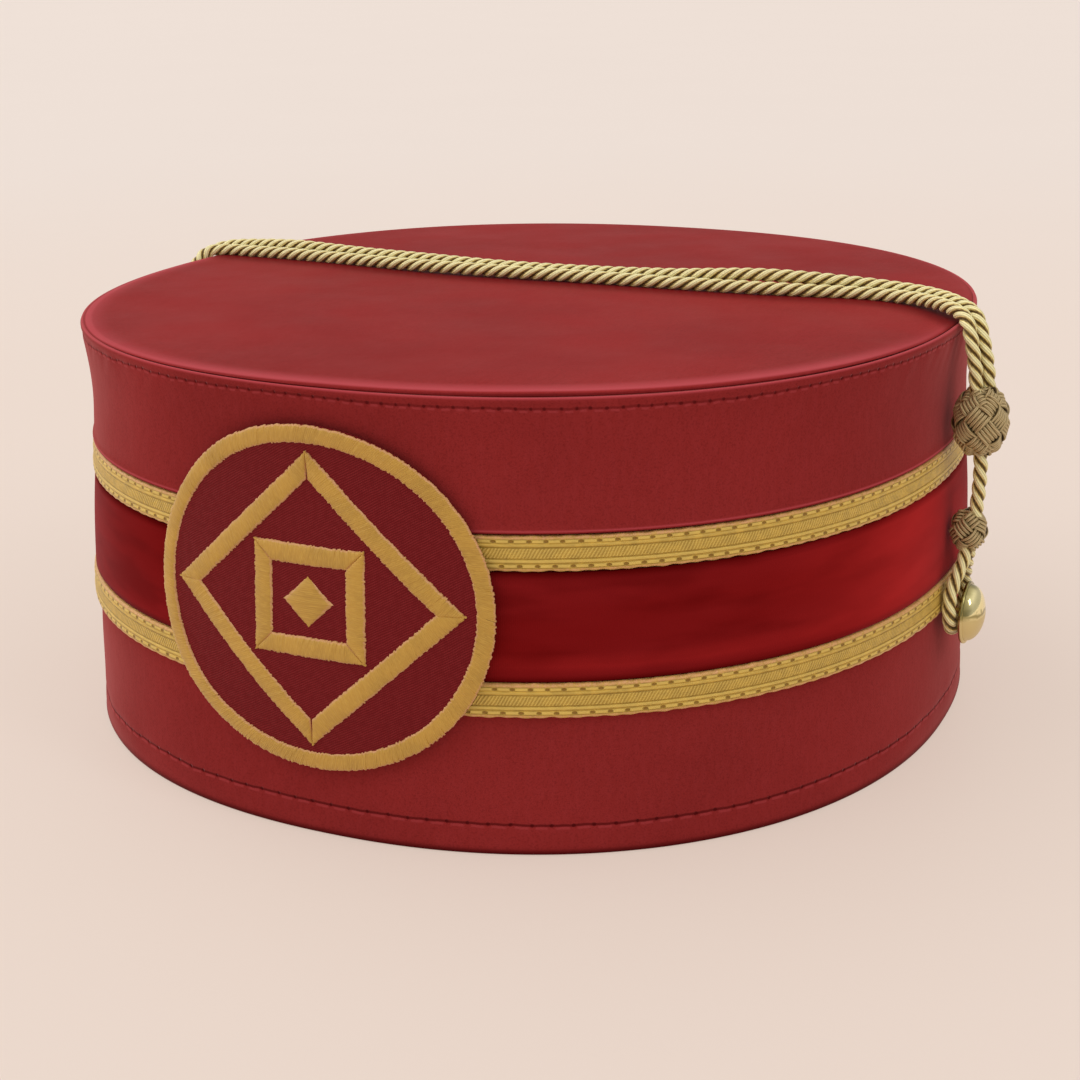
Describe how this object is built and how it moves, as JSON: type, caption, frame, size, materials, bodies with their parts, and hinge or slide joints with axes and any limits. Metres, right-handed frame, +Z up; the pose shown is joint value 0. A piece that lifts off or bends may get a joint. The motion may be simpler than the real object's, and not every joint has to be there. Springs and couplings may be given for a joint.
{
  "type": "cap",
  "caption": "Stiff oval cap with a flat top, a ribbon between gold braids, a round embroidered badge, rope cords over the crown and domed side buttons.",
  "frame": {"origin": "middle of the bottom rim's oval, in the plane of the rim that the cap rests on", "axes": "+Z up, out of the flat top; -Y towards the front, where the badge is; +X towards the wearer's left, through the right-hand button as seen from the front"},
  "size_m": [0.2076, 0.1989, 0.0907],
  "materials": {
    "wall_cloth": "fine smooth cloth with a soft sheen, dark red",
    "top_cloth": "fine smooth cloth with a soft sheen, red",
    "panel_cloth": "fine smooth cloth with a soft sheen, dark red",
    "ribbon": "deep red ribbon with a satin sheen",
    "braid": "woven gold lace, stitched along both edges",
    "twill": "matt dark red twill",
    "gold_thread": "gold satin stitch",
    "rope": "bright pale gold rope cord in three plies",
    "knot_thread": "dull gold cord, woven into knots",
    "brass": "polished"
  },
  "bodies": {
    "root": {"crown_wall": "wall_cloth", "crown_top": "top_cloth", "upper_panel": "panel_cloth", "velvet_band": "ribbon", "upper_braid": "braid", "lower_braid": "braid", "badge_field": "twill", "badge_ring": "gold_thread", "badge_diamond": "gold_thread", "badge_square": "gold_thread", "badge_lozenge": "gold_thread", "crown_cord_front": "rope", "crown_cord_rear": "rope", "drop_cord_right": "rope", "drop_cord_left": "rope", "loop_cord_right": "rope", "loop_cord_left": "rope", "large_knot_right": "knot_thread", "large_knot_left": "knot_thread", "small_knot_right": "knot_thread", "small_knot_left": "knot_thread", "button_right": "brass", "button_left": "brass"}
  },
  "joints": []
}
